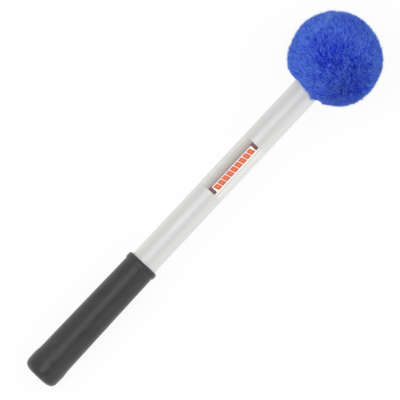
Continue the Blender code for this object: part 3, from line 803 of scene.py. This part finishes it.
def pile_strands():
    """The whole pile: centre lines, normals, tones and which sector each strand belongs to."""
    rng = np.random.default_rng(SEED)
    noise.seed_set(NOISE_SEED)
    clump_lines, _, _, _ = grown(CLUMPS, rng, CLUMP_JITTER, CLUMP_SPREAD)
    clump_tone = rng.normal(0.0, 1.0, CLUMPS)
    lines, normal, patch, part = grown(STRANDS, rng, STRAND_JITTER, STRAND_SPREAD)
    tree = kdtree.KDTree(CLUMPS)
    for i, line in enumerate(clump_lines):
        tree.insert(line[0], i)
    tree.balance()
    nearest = np.array([tree.find(line[0])[1] for line in lines])
    free = rng.uniform(0.0, 1.0, STRANDS) < FLYAWAY_SHARE
    pull = CLUMP_PULL * rng.uniform(*PULL_SPREAD, STRANDS) * np.where(free, FLYAWAY_PULL, 1.0)
    for k, level in enumerate(LEVELS):
        lines[:, k] += (clump_lines[nearest, k] - lines[:, k]) * (pull * level**PULL_BEND)[:, None]
    lines[free, -1] += (lines[free, -1] - lines[free, -2]) * rng.uniform(*FLYAWAY_REACH, free.sum())[:, None]
    lines[:, -1] += rng.normal(0.0, TIP_SCATTER, (STRANDS, 3))
    keep_off_tube(lines)
    tone = TONE_MIDDLE + TONE_BY_CLUMP * clump_tone[nearest] + TONE_BY_STRAND * rng.normal(0.0, 1.0, STRANDS)
    tone += TONE_BY_PATCH * patch + TONE_ON_SEAM * part
    # Painted shade and painted light: broad patches of darker and lighter tone for how light falls on the
    # ball
    for way, size, change in PAINTED_LIGHT_AND_SHADE:
        tone += change * np.exp(-((np.linalg.norm(normal - np.array(way), axis=1) / size) ** 2))
    turn = np.arctan2(lines[:, 0, 1], lines[:, 0, 0]) % math.tau
    return lines, normal, np.clip(tone, 0.0, 1.0), (turn / math.tau * SECTORS).astype(int) % SECTORS


def keep_off_tube(lines):
    """Moves what would be inside the tube out to its surface."""
    radius = np.hypot(lines[..., 0], lines[..., 1])
    low = lines[..., 2] < MOUTH + SHOULDER
    limit = TUBE_RADIUS + TUBE_CLEARANCE
    factor = np.where(low & (radius < limit), limit / np.maximum(radius, LEAST_RADIUS), 1.0)
    lines[..., :2] *= factor[..., None]


def strand_points(lines, normal):
    """The points of three-sided, tapered strands on centre lines, and the way that each point faces."""
    count = len(lines)
    along = unit(lines[:, -1] - lines[:, 0])
    rng = np.random.default_rng(SEED + count)
    first = unit(np.cross(along, rng.normal(0.0, 1.0, (count, 3))))
    second = np.cross(along, first)
    places = np.empty((count, TIP + 1, 3))
    for ring, radius in enumerate(STRAND_RADII):
        for corner in range(SIDES):
            angle = math.tau * corner / SIDES
            offset = first * math.cos(angle) + second * math.sin(angle)
            places[:, SIDES * ring + corner] = lines[:, ring] + radius * offset
    places[:, TIP] = lines[:, RINGS]
    thread = places - lines[:, LEVEL_OF]
    thread[:, TIP] = along
    return places, unit(unit(thread) * (1 - ROUNDNESS) + normal[:, None] * ROUNDNESS)


def strand_mesh(lines, normal, tone):
    """Closed strands on these centre lines, laid on the frame's axis and kept off the floor."""
    count = len(lines)
    turn = np.array(ON_AXIS.to_3x3())
    lines = lines @ turn.T + np.array(BUTT)
    lines[..., 2] = np.maximum(lines[..., 2], FLOOR_GAP)
    places, facing = strand_points(lines, normal @ turn.T)
    triangles = [(2, 1, 0)]
    for ring in range(RINGS - 1):
        for corner in range(SIDES):
            a, b = SIDES * ring + corner, SIDES * ring + (corner + 1) % SIDES
            triangles += [(a, b, b + SIDES), (a, b + SIDES, a + SIDES)]
    triangles += [(TIP - 3, TIP - 2, TIP), (TIP - 2, TIP - 1, TIP), (TIP - 1, TIP - 3, TIP)]
    corners = (np.arange(count)[:, None, None] * (TIP + 1) + np.array(triangles)).reshape(-1)
    mesh = bpy.data.meshes.new("strands")
    mesh.vertices.add(count * (TIP + 1))
    mesh.vertices.foreach_set("co", places.reshape(-1).astype(np.float32))
    mesh.loops.add(len(corners))
    mesh.loops.foreach_set("vertex_index", corners.astype(np.int32))
    mesh.polygons.add(len(corners) // 3)
    mesh.polygons.foreach_set("loop_start", np.arange(0, len(corners), 3, dtype=np.int32))
    mesh.update(calc_edges=True)
    mesh.shade_smooth()
    layer = mesh.attributes.new("custom_normal", "FLOAT_VECTOR", "POINT")
    layer.data.foreach_set("vector", facing.reshape(-1).astype(np.float32))
    level = LEVELS[LEVEL_OF][None].repeat(count, 0)
    for name, values in (("level", level), ("tone", tone[:, None].repeat(TIP + 1, 1))):
        layer = mesh.attributes.new(name, "FLOAT", "POINT")
        layer.data.foreach_set("value", values.reshape(-1).astype(np.float32))
    # The map is a palette: across it by tone, up it by level, with some width for each face
    across = np.array((-1.0, 1.0, 0.0) * RINGS + (0.0,)) * PALETTE_WIDTH
    down = np.array((0.0, 0.0, -1.0) * RINGS + (0.0,)) * PALETTE_WIDTH
    uv = np.stack([tone[:, None] + across, level + down], 2) * (1 - 2 * PALETTE_EDGE) + PALETTE_EDGE
    layer = mesh.uv_layers.new(name="OFBake")
    layer.uv.foreach_set("vector", uv.reshape(-1, 2)[corners].reshape(-1).astype(np.float32))
    return mesh


def add_cover():
    """The cover: the backing, and the pile in sectors round the axis."""
    backing = add_piece("plush_backing", backing_mesh(), "blue_plush", backing_material(), "plush_cover")
    material = pile_material()
    lines, normal, tone, sector = pile_strands()
    for i in range(SECTORS):
        chosen = sector == i
        mesh = strand_mesh(lines[chosen], normal[chosen], tone[chosen])
        place_piece(f"plush_pile_{i + 1}", mesh, material)


# Felt and cord inside the cover


def felt_shift(place, radius):
    """Pressed felt's slight unevenness, less than the gaps round it."""
    return place + (place - BALL_PLACE).normalized() * waves(place, FELT_WAVES)


def add_felt():
    """The felt wrapped round the core, and the disc over its screw."""
    inner_radius = CORE_RADIUS + GAP
    inner_low = FELT_LOW + (FELT_RADIUS - inner_radius)
    outer_turn = -math.asin((BALL_CENTRE - FELT_LOW) / FELT_RADIUS)
    inner_turn = -math.asin((BALL_CENTRE - inner_low) / inner_radius)
    profile = [
        *arc((0.0, BALL_CENTRE), FELT_RADIUS, math.pi / 2, outer_turn, FELT_ROWS[0]),
        (BORE + GAP, FELT_LOW),
        (BORE + GAP, inner_low),
        *arc((0.0, BALL_CENTRE), inner_radius, inner_turn, math.pi / 2, FELT_ROWS[1]),
    ]
    profile[0] = (0.0, BALL_CENTRE + FELT_RADIUS)
    profile[-1] = (0.0, BALL_CENTRE + inner_radius)
    felt = felt_material()
    add_piece("felt_wrap", turned(profile, shift=felt_shift), "grey_felt", felt, "felt_layer")
    pocket_radius = reach("core_screw")[2] + GAP
    dome_turn = math.acos(DISC_RADIUS / CORE_RADIUS)
    disc = [
        *arc((0.0, BALL_CENTRE), CORE_RADIUS, math.pi / 2, dome_turn, DOME_ROWS),
        (DISC_RADIUS, DISC_LOW),
        (pocket_radius, DISC_LOW),
        (pocket_radius, SCREW_HEAD_TOP + GAP),
        (0.0, SCREW_HEAD_TOP + GAP),
    ]
    disc[0] = (0.0, BALL_CENTRE + CORE_RADIUS)
    pad = turned(stepped(disc), segments=DISC_ROUND)
    add_piece("felt_disc", pad, "grey_felt", felt, "recess_disc")


def cord_mesh():
    """The gathering cord: plies twisted about a helix round the tube."""
    diameter = CORD_REACH - BORE
    middle = BORE + diameter / 2
    low, high = CORD_LOW + diameter / 2, CORD_HIGH - diameter / 2
    length = CORD_TURNS * math.tau * middle
    count = round(length / PLY_STEP)
    ply_radius = diameter / 2 / (1 + 1 / math.sin(math.pi / CORD_PLIES))
    ply_offset = diameter / 2 - ply_radius
    vertices, faces = [], []
    for ply in range(CORD_PLIES):
        start = len(vertices)
        for i in range(count + 1):
            share = i / count
            turn = math.tau * CORD_TURNS * share
            out = Vector((math.cos(turn), math.sin(turn), 0.0))
            up = Vector((0.0, 0.0, 1.0))
            twist = math.tau * (length * share / CORD_TWIST + ply / CORD_PLIES)
            centre = out * middle + up * (low + (high - low) * share)
            centre += (out * math.cos(twist) + up * math.sin(twist)) * ply_offset
            for side in range(PLY_SIDES):
                angle = math.tau * side / PLY_SIDES
                vertices.append(centre + (out * math.cos(angle) + up * math.sin(angle)) * ply_radius)
        for i in range(count):
            for side in range(PLY_SIDES):
                a = start + i * PLY_SIDES + side
                b = start + i * PLY_SIDES + (side + 1) % PLY_SIDES
                faces.append((a, b, b + PLY_SIDES, a + PLY_SIDES))
        faces.append(tuple(start + side for side in range(PLY_SIDES)))
        faces.append(tuple(start + count * PLY_SIDES + side for side in reversed(range(PLY_SIDES))))
    mesh = bpy.data.meshes.new("cord")
    mesh.from_pydata(vertices, [], faces)
    outward(mesh)
    return mesh


# Materials


def new_material(name, values):
    """A material whose Principled shader has these plain values, and its node tree."""
    material = bpy.data.materials.new(name)
    material.use_nodes = True
    tree = material.node_tree
    for socket, value in values.items():
        tree.nodes["Principled BSDF"].inputs[socket].default_value = value
    return material, tree


def connect(material, colour, roughness, normal=None):
    """Links outputs to the shader's sockets, and gives the material back."""
    tree = material.node_tree
    for socket, output in (("Base Color", colour), ("Roughness", roughness), ("Normal", normal)):
        if output:
            tree.links.new(output, tree.nodes["Principled BSDF"].inputs[socket])
    return material


def add_node(tree, kind, inputs=None, **settings):
    """A node with its settings and inputs, which are plain values or other nodes' outputs."""
    made = tree.nodes.new(f"ShaderNode{kind}")
    for key, value in settings.items():
        setattr(made, key, value)
    for key, value in (inputs or {}).items():
        if isinstance(value, bpy.types.NodeSocket):
            tree.links.new(value, made.inputs[key])
        else:
            made.inputs[key].default_value = value
    return made


def combined(tree, first, second, operation="ADD"):
    """Two values added, or combined by another operation."""
    return add_node(tree, "Math", {0: first, 1: second}, operation=operation).outputs[0]


def axis_place(tree):
    """The place in axis coordinates, in metres."""
    place = add_node(tree, "TexCoord").outputs["Object"]
    inputs = {"Vector": place, "Location": TO_AXIS.translation, "Rotation": TO_AXIS.to_euler()}
    return add_node(tree, "Mapping", inputs).outputs["Vector"]


def scaled_place(tree, scale):
    """The place in axis coordinates, scaled to so many grains in a metre, alike or for each axis."""
    inputs = {0: axis_place(tree), 1: scale if isinstance(scale, tuple) else (scale,) * 3}
    return add_node(tree, "VectorMath", inputs, operation="MULTIPLY").outputs["Vector"]


def grain(tree, scale, detail, rough=0.5):
    """Noise with so many grains in a metre."""
    inputs = {"Vector": scaled_place(tree, scale), "Scale": 1.0, "Detail": detail, "Roughness": rough}
    return add_node(tree, "TexNoise", inputs).outputs["Fac"]


def ranged(tree, value, low, high, start=0.3, end=0.7):
    """The value moved from between start and end to between low and high."""
    inputs = {"Value": value, "From Min": start, "From Max": end, "To Min": low, "To Max": high}
    return add_node(tree, "MapRange", inputs).outputs["Result"]


def ramp(tree, factor, *stops):
    """A colour ramp with stops of (place, colour)."""
    made = add_node(tree, "ValToRGB", {"Fac": factor})
    elements = made.color_ramp.elements
    while len(elements) < len(stops):
        elements.new(1.0)
    for element, (place, colour) in zip(elements, stops):
        element.position = place
        element.color = (*colour, 1.0)
    return made.outputs["Color"]


def two_tone(tree, factor, colours, start=0.3, end=0.7):
    """A colour that runs from the first to the second as the factor goes from start to end."""
    return ramp(tree, factor, (start, colours[0]), (end, colours[1]))


def mixed(tree, factor, first, second):
    """Two colours mixed."""
    made = add_node(tree, "Mix", data_type="RGBA")
    for index, value in ((0, factor), (6, first), (7, second)):
        if isinstance(value, bpy.types.NodeSocket):
            tree.links.new(value, made.inputs[index])
        else:
            made.inputs[index].default_value = value if index == 0 else (*value, 1.0)
    return made.outputs[2]


def bump(tree, height, strength, distance, normal=None):
    """A bump from a height, on top of another if one is given."""
    inputs = {"Height": height, "Strength": strength, "Distance": distance}
    if normal:
        inputs["Normal"] = normal
    return add_node(tree, "Bump", inputs).outputs["Normal"]


def tube_material():
    """Satin anodised aluminium, with fine lines along it, faint handling marks and a few specks."""
    material, tree = new_material("satin_aluminium", {"Metallic": 1.0})
    lines = grain(tree, (3000.0, 3000.0, 12.0), 3.0, 0.6)
    marks = grain(tree, (90.0, 90.0, 35.0), 5.0, 0.6)
    inputs = {0: axis_place(tree), 1: SPECKLED_PLACE}
    distance = add_node(tree, "VectorMath", inputs, operation="DISTANCE").outputs["Value"]
    more = ranged(tree, distance, SPECKLED_LIFT, 0.0, 0.0, SPECKLED_REACH)
    flecks = combined(tree, grain(tree, (1500.0, 1500.0, 1100.0), 0.0), more)
    specks = ranged(tree, flecks, 0.0, SPECK_STRENGTH, *SPECK_LEVELS)
    colour = mixed(tree, specks, two_tone(tree, lines, TUBE_COLOURS), TUBE_SPECK)
    rough = combined(tree, ranged(tree, lines, *TUBE_ROUGHNESS), ranged(tree, marks, *MARKS))
    return connect(material, colour, rough, bump(tree, lines, 0.25, 0.00002))


def grip_material():
    """Dip-moulded soft vinyl: a fine skin, slightly mottled, dusty where hands and tables rub it."""
    material, tree = new_material("black_vinyl", {"Specular IOR Level": 0.5})
    mottle = grain(tree, (160.0, 160.0, 90.0), 4.0, 0.55)
    skin = grain(tree, 2200.0, 4.0, 0.6)
    rubs = grain(tree, (420.0, 420.0, 60.0), 6.0, 0.7)
    dust = ranged(tree, rubs, 0.0, DUST_STRENGTH, *DUST_LEVELS)
    colour = mixed(tree, dust, two_tone(tree, mottle, GRIP_COLOURS), GRIP_DUST)
    uneven = combined(tree, ranged(tree, mottle, *GRIP_ROUGHNESS), ranged(tree, skin, *MARKS))
    height = add_node(tree, "SeparateXYZ", {0: axis_place(tree)}).outputs["Z"]
    step_top = GRIP_BARREL_LENGTH + GRIP_STEP_LENGTH
    polish = ranged(tree, height, BARREL_POLISH, 0.0, GRIP_BARREL_LENGTH, step_top)
    normal = bump(tree, skin, 0.35, 0.00005, bump(tree, mottle, 0.3, 0.0003))
    return connect(material, colour, combined(tree, uneven, polish), normal)


def film_material():
    """The label's film: pale, with a grey shade that deepens towards the band."""
    material, tree = new_material("label_film_finish", PRINT_COAT)
    place = add_node(tree, "SeparateXYZ", {0: axis_place(tree)}).outputs
    signed = combined(tree, place["Y"], place["X"], "ARCTAN2")
    # ARCTAN2 jumps at the tube's top, so the turn is taken from the underside
    turn = combined(tree, combined(tree, signed, math.tau), math.tau, "MODULO")
    left = TOP_TURN + LABEL_TURN - LABEL_WIDTH / 2 / LABEL_RADIUS
    band = TOP_TURN + LABEL_TURN + BAND_LEFT / LABEL_RADIUS
    shade = ranged(tree, turn, 0.0, 0.5, left, band)
    beyond = ranged(tree, turn, 0.0, 0.5, band, band + FILM_FADE)
    ground = ramp(tree, combined(tree, shade, beyond), *FILM_SHADES)
    mottle = grain(tree, 900.0, 4.0, 0.6)
    colour = mixed(tree, ranged(tree, mottle, 0.0, 0.06), ground, FILM_SHADES[1][1])
    return connect(material, colour, ranged(tree, mottle, 0.30, 0.40), bump(tree, mottle, 0.15, 0.00003))


def ink_material(name, colour):
    """Printing ink: near even, with a fine grain and slightly thin places."""
    material, tree = new_material(f"{name}_ink", PRINT_COAT)
    fine = grain(tree, 2600.0, 4.0, 0.65)
    broad = grain(tree, 300.0, 3.0, 0.5)
    thin = combined(tree, ranged(tree, fine, 0.0, 0.06), ranged(tree, broad, 0.0, 0.04))
    printed = mixed(tree, thin, colour, FILM_WHITE)
    return connect(material, printed, ranged(tree, fine, 0.32, 0.44), bump(tree, fine, 0.15, 0.00002))


def pile_material():
    """Synthetic pile: dark at the roots, lighter to the tips, each strand and clump with its own tone."""
    material, tree = new_material("blue_pile", PILE_FINISH)
    tone = add_node(tree, "Attribute", attribute_name="tone").outputs["Fac"]
    level = add_node(tree, "Attribute", attribute_name="level").outputs["Fac"]
    root, tip = (two_tone(tree, tone, colours, 0.0, 1.0) for colours in (PILE_ROOTS, PILE_TIPS))
    lit = ranged(tree, level, 0.0, 1.0, *LIT_LEVELS)
    return connect(material, mixed(tree, lit, root, tip), ranged(tree, tone, *PILE_ROUGHNESS, 0.0, 1.0))


def backing_material():
    """The knitted backing under the pile: dark, with rows of loops."""
    material, tree = new_material("knitted_backing", {"Specular IOR Level": 0.2})
    inputs = {"Vector": scaled_place(tree, 260.0), "Scale": 1.0, "Distortion": 1.5, "Detail": 2.0}
    rows = add_node(tree, "TexWave", inputs, bands_direction="Z").outputs["Fac"]
    loops = grain(tree, 1400.0, 3.0, 0.6)
    normal = bump(tree, combined(tree, rows, loops), 0.5, 0.0003)
    return connect(material, two_tone(tree, loops, BACKING_COLOURS), ranged(tree, loops, 0.8, 0.95), normal)


def wood_material():
    """Turned hardwood, with growth rings about the axis, fine pores and the turning's rings."""
    material, tree = new_material("turned_hardwood", {"Specular IOR Level": 0.35})
    place = scaled_place(tree, (130.0, 130.0, 12.0))
    inputs = {"Vector": place, "Scale": 1.0, "Distortion": 3.0, "Detail": 3.0, "Detail Scale": 1.5}
    rings = add_node(tree, "TexWave", inputs, wave_type="RINGS", rings_direction="Z").outputs["Fac"]
    pores = grain(tree, (2400.0, 2400.0, 160.0), 3.0, 0.6)
    turning = grain(tree, (8.0, 8.0, 2600.0), 2.0, 0.5)
    shade = combined(tree, ranged(tree, rings, 0.0, 0.7, 0.0, 1.0), ranged(tree, pores, 0.0, 0.3))
    colour = two_tone(tree, shade, WOOD_COLOURS, 0.0, 1.0)
    normal = bump(tree, turning, 0.3, 0.00005, bump(tree, pores, 0.3, 0.00008))
    return connect(material, colour, ranged(tree, pores, 0.5, 0.7), normal)


def felt_material():
    """Pressed wool felt: matted fibres of several greys."""
    values = {"Specular IOR Level": 0.2, "Sheen Weight": 0.3, "Sheen Roughness": 0.6}
    material, tree = new_material("pressed_felt", values)
    fibres = grain(tree, (1800.0, 900.0, 1400.0), 8.0, 0.75)
    shade = combined(tree, fibres, ranged(tree, grain(tree, 240.0, 4.0, 0.6), -0.15, 0.15))
    colour = two_tone(tree, shade, FELT_COLOURS, 0.25, 0.75)
    return connect(material, colour, ranged(tree, fibres, 0.85, 0.98), bump(tree, fibres, 0.6, 0.0002))


def simple_material(name, values, colours, roughness, cloud_grain, bump_grain, *bump_size):
    """A finish whose colour and roughness follow one grain, and whose bump follows another."""
    material, tree = new_material(name, values)
    clouds = grain(tree, *cloud_grain)
    normal = bump(tree, grain(tree, *bump_grain), *bump_size)
    return connect(material, two_tone(tree, clouds, colours), ranged(tree, clouds, *roughness), normal)


def steel_material():
    """Bright zinc plate, with faint clouds and turned lines."""
    clouds, lines = (420.0, 4.0, 0.6), ((60.0, 60.0, 6000.0), 2.0, 0.5)
    finish = "zinc_plate", {"Metallic": 1.0}, STEEL_COLOURS, (0.26, 0.42)
    return simple_material(*finish, clouds, lines, 0.2, 0.00002)


def cord_material():
    """Polyester cord, with fine filaments."""
    filaments = ((9000.0, 9000.0, 3000.0), 4.0, 0.7)
    values = {"Specular IOR Level": 0.4, "Sheen Weight": 0.2}
    finish = "polyester_cord", values, CORD_COLOURS, (0.55, 0.75)
    return simple_material(*finish, filaments, filaments, 0.5, 0.00006)


def plastic_material():
    """Moulded polyethylene, waxy and slightly cloudy."""
    clouds, skin = ((180.0, 180.0, 120.0), 4.0, 0.55), (1600.0, 3.0, 0.5)
    finish = "moulded_plastic", {"Specular IOR Level": 0.4}, PLASTIC_COLOURS, (0.38, 0.52)
    return simple_material(*finish, clouds, skin, 0.2, 0.00005)


def dress_inner_nodes():
    """Puts the finished materials on the CAD nodes that stay."""
    wood, steel = wood_material(), steel_material()
    finishes = {
        "head_core": wood,
        "head_plug": wood,
        "cross_pin": steel,
        "core_screw": steel,
        "core_washer": steel,
        "butt_plug": plastic_material(),
    }
    for name, material in finishes.items():
        for material_slot in frame["nodes"][name].material_slots:
            material_slot.material = material


# Studio


def seen_share(tree):
    """1 for the rays that show the background: the camera's, reflections' and those through clear things."""
    rays = add_node(tree, "LightPath").outputs
    either = combined(tree, rays["Is Camera Ray"], rays["Is Glossy Ray"], "MAXIMUM")
    return combined(tree, either, rays["Is Transmission Ray"], "MAXIMUM")


def add_floor():
    """A plain white floor that keeps the mallet's shadow."""
    mesh = bpy.data.meshes.new("studio_floor")
    half = FLOOR_SIZE / 2
    corners = [(x * half, y * half, 0.0) for x, y in ((-1, -1), (1, -1), (1, 1), (-1, 1))]
    mesh.from_pydata(corners, [], [(0, 1, 2, 3)])
    floor = new_object("studio_floor", mesh)
    material = bpy.data.materials.new("studio_floor")
    material.use_nodes = True
    tree = material.node_tree
    tree.nodes.clear()
    diffuse = add_node(tree, "BsdfDiffuse", {"Color": FLOOR_COLOUR}).outputs[0]
    glow = add_node(tree, "Emission", {"Color": WHITE, "Strength": 1.0}).outputs[0]
    share = combined(tree, seen_share(tree), FLOOR_GLOW, "MULTIPLY")
    both = add_node(tree, "MixShader", {0: share, 1: diffuse, 2: glow}).outputs[0]
    add_node(tree, "OutputMaterial", {"Surface": both})
    mesh.materials.append(material)


def set_world():
    """A white studio: what the camera and reflections see is white, a little less so at the ceiling."""
    world = bpy.data.worlds.new("studio")
    bpy.context.scene.world = world
    world.use_nodes = True
    tree = world.node_tree
    tree.nodes.clear()
    way = add_node(tree, "SeparateXYZ", {0: add_node(tree, "TexCoord").outputs["Generated"]}).outputs
    wall = ranged(tree, way["Y"], 1.0, FAR_WALL, *WALL_FADE)
    ceiling = ranged(tree, way["Z"], 1.0, CEILING, *CEILING_FADE)
    inside = combined(tree, wall, ceiling, "MULTIPLY")
    camera_ray = add_node(tree, "LightPath").outputs["Is Camera Ray"]
    strength = combined(tree, inside, camera_ray, "MAXIMUM")
    shown = add_node(tree, "Background", {"Color": WHITE, "Strength": strength}).outputs[0]
    light = add_node(tree, "Background", {"Color": WHITE, "Strength": WORLD_LIGHT}).outputs[0]
    both = add_node(tree, "MixShader", {0: seen_share(tree), 1: light, 2: shown}).outputs[0]
    add_node(tree, "OutputWorld", {"Surface": both})


def add_softbox(name, place, size, power, colour, reflected):
    """A lamp of a width and a length that faces the mallet. Reflections show it or leave it out."""
    lamp = bpy.data.lights.new(name, "AREA")
    lamp.shape = "RECTANGLE"
    lamp.size, lamp.size_y = size
    lamp.energy = power
    lamp.color = colour
    softbox = new_object(name, lamp)
    softbox.visible_glossy = reflected
    softbox.location = place
    softbox.rotation_euler = (Vector(LAMP_TARGET) - Vector(place)).to_track_quat("-Z", "Y").to_euler()


def add_camera():
    """The photograph's view: square to the mallet's axis, from above."""
    toward = AXIS.cross(SIDE)
    right = AXIS * math.cos(PICTURE_TURN) - SIDE * math.sin(PICTURE_TURN)
    up = AXIS * math.sin(PICTURE_TURN) + SIDE * math.cos(PICTURE_TURN)
    aim = BUTT + AXIS * AIM_HEIGHT + SIDE * AIM_SIDE
    data = bpy.data.cameras.new("camera")
    data.sensor_width = SENSOR
    data.lens = CAMERA_DISTANCE * SENSOR / VIEW_WIDTH
    data.clip_start, data.clip_end = CLIP
    camera = new_object("camera", data)
    turn = Matrix((right, up, toward)).transposed().to_4x4()
    camera.matrix_world = Matrix.Translation(aim + toward * CAMERA_DISTANCE) @ turn
    bpy.context.scene.camera = camera


def main():
    """Dresses the frame and sets up the studio."""
    bpy.context.scene.view_settings.view_transform = "Standard"
    add_camera()
    add_floor()
    set_world()
    for name, settings in SOFTBOXES.items():
        add_softbox(name, *settings)
    add_piece("tube", tube_mesh(), "satin_aluminium", tube_material(), "shaft_tube")
    add_piece("grip", grip_mesh(), "black_grip", grip_material(), "grip_sleeve")
    add_label()
    add_cover()
    add_felt()
    add_piece("hem_cord", cord_mesh(), "white_cord", cord_material(), "gather_cord")
    dress_inner_nodes()
    bpy.context.view_layer.update()


main()
